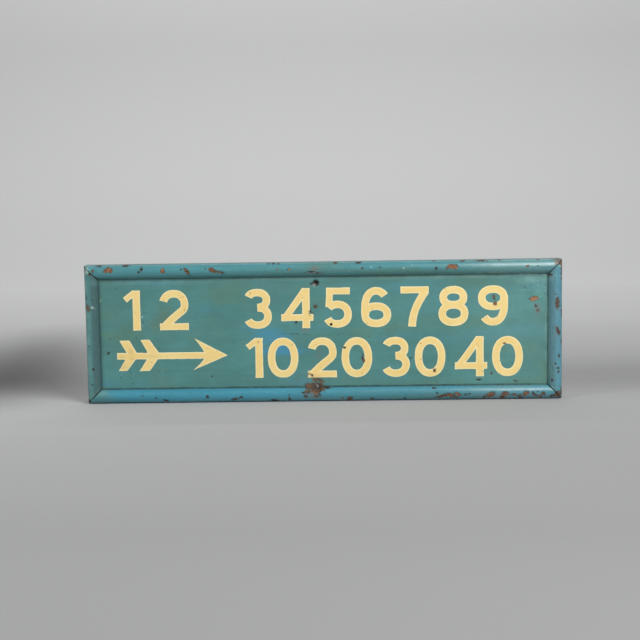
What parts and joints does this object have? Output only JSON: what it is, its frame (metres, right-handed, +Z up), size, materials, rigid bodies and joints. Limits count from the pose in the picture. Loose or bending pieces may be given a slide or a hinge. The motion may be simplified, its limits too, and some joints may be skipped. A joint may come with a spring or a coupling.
{
  "type": "railway station sign",
  "caption": "Long painted wooden direction board with mitred half-round beading pinned round its face and countersunk screw holes for fixing it to a wall.",
  "frame": {"origin": "middle of the board's bottom edge, halfway through the overall depth", "axes": "+Z up, +X to the right along the board as seen by someone reading it, -Y out of the painted face and +Y out of the bare back"},
  "size_m": [0.648, 0.0285, 0.19],
  "materials": {
    "board_paint": "softwood under aged blue-green oil paint, semi-gloss, streaked, scratched and chipped to brown wood",
    "bead_paint": "softwood under aged blue-green oil paint, glossier and bluer than the board, chipped along the crest and the tips",
    "pin_steel": "mild steel, rusted brown, painted over at the head",
    "figure_paint": "cream sign-writer's oil paint brushed on the board, satin, with small specks and rubbed edges"
  },
  "bodies": {
    "root": {"back_board": "board_paint", "top_bead": "bead_paint", "bottom_bead": "bead_paint", "left_bead": "bead_paint", "right_bead": "bead_paint", "top_bead_pins": "pin_steel", "bottom_bead_pins": "pin_steel", "left_bead_pins": "pin_steel", "right_bead_pins": "pin_steel"}
  },
  "joints": []
}
